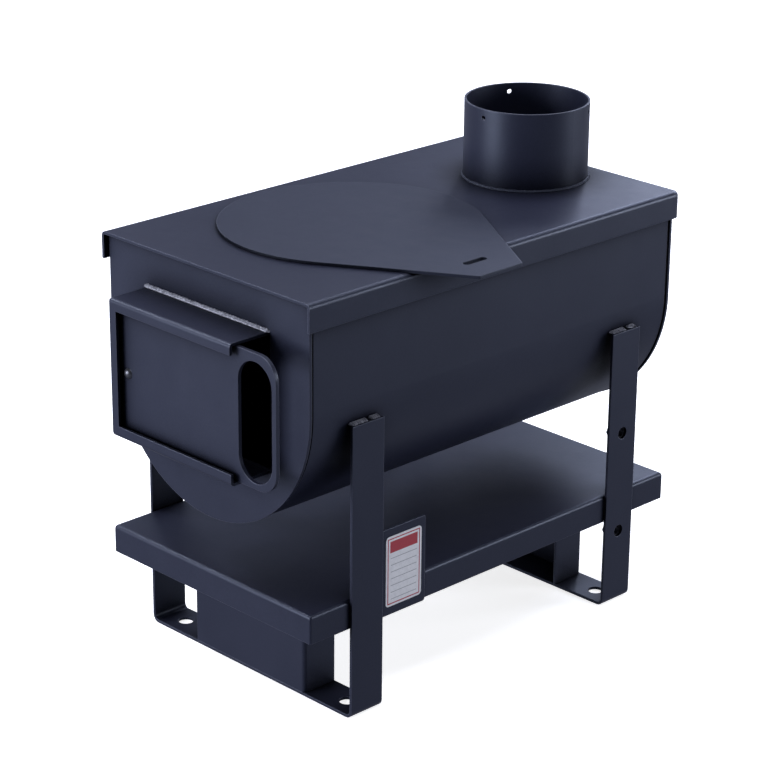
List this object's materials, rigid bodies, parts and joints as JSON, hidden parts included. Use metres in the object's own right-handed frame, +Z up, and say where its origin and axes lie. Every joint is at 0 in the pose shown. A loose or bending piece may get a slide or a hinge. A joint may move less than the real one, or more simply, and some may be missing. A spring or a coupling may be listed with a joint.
{
  "type": "wood burning stove",
  "caption": "Portable wood burning stove: round-bottomed steel drum on strap legs with a heat-shield tray, sliding door, lift-off cooking lid and flue collar.",
  "frame": {"origin": "on the floor, midway between the four floor holes in the base straps", "axes": "+X to the right seen from the door, where the door slides open; +Y to the rear, away from the door; +Z up, along the flue"},
  "size_m": [0.353, 0.562, 0.5205],
  "materials": {
    "heat_paint": "matte",
    "fire_steel": "matte",
    "bolt_steel": "satin",
    "label_white": "satin"
  },
  "bodies": {
    "stove_body": {"drum_shell": "heat_paint", "front_plate": "heat_paint", "rear_plate": "heat_paint", "top_plate": "heat_paint", "flue_collar": "heat_paint", "flue_weld": "heat_paint", "door_frame": "heat_paint", "door_guides": "heat_paint", "frame_weld": "heat_paint", "front_seam_weld": "fire_steel", "rear_seam_weld": "fire_steel", "front_leg_frame": "heat_paint", "rear_leg_frame": "heat_paint", "front_leg_welds": "heat_paint", "rear_leg_welds": "heat_paint", "rear_leg_nuts": "bolt_steel", "front_support_bracket": "heat_paint", "rear_support_bracket": "heat_paint", "heat_shield_tray": "heat_paint", "label_plate": "heat_paint", "label_card": "label_white", "baffle_plate": "fire_steel", "baffle_shelves": "fire_steel"},
    "door": {"sliding_door": "heat_paint", "door_stop_bolt": "bolt_steel", "door_stop_nut": "bolt_steel"},
    "lid": {"cooking_lid": "heat_paint", "lid_locating_ring": "fire_steel"}
  },
  "joints": [
    {"name": "door_slide", "type": "slide", "parent": "stove_body", "child": "door", "axis": [1, 0, 0], "range_m": [0, 0.155]},
    {"name": "lid_lift", "type": "slide", "parent": "stove_body", "child": "lid", "axis": [0, 0, 1], "range_m": [0, 0.06]}
  ]
}
